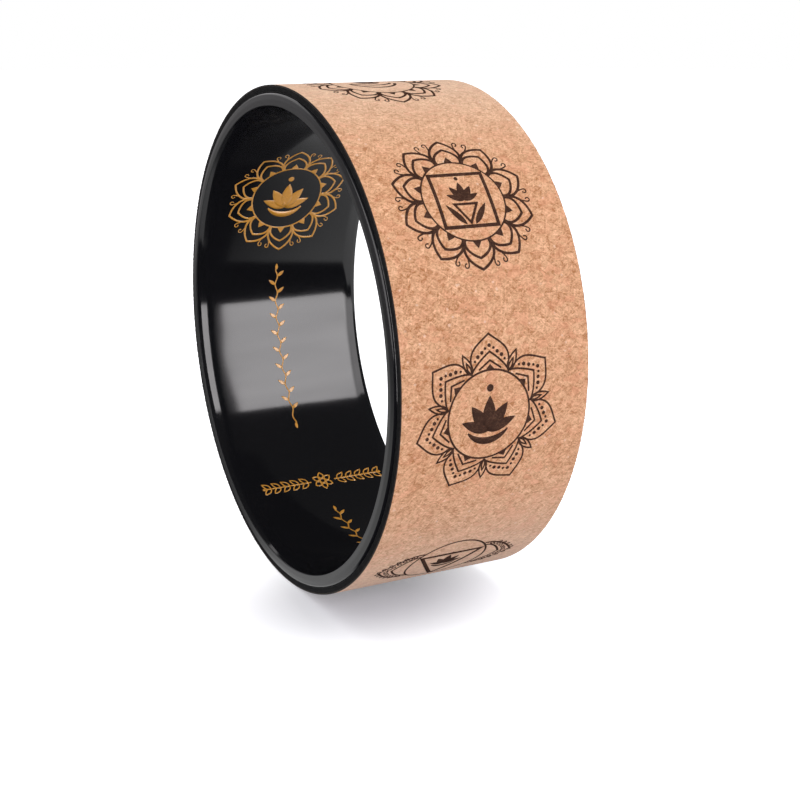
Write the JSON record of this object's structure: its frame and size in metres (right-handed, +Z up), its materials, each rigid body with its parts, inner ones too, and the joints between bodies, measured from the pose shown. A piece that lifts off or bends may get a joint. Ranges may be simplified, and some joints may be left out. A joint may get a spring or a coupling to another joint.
{
  "type": "yoga wheel",
  "caption": "Free-standing yoga wheel: a rigid black hoop, open through the middle, with a padded cork tread bonded round the outside for rolling under the back.",
  "frame": {"origin": "the wheel's centre: on its axis, midway between its two end faces", "axes": "+Y along the wheel's axis, +Z up; the wheel stands on its tread, which meets the floor along a line at z = -0.165 m"},
  "size_m": [0.33, 0.13, 0.33],
  "materials": {
    "hoop_plastic": "gloss",
    "tape": "matte",
    "pad_foam": "matte",
    "film": "matte",
    "cork": "matte"
  },
  "bodies": {
    "root": {"core_ring": "hoop_plastic", "bonding_tape": "tape", "cushion_pad": "pad_foam", "adhesive_film": "film", "cork_tread": "cork"}
  },
  "joints": []
}
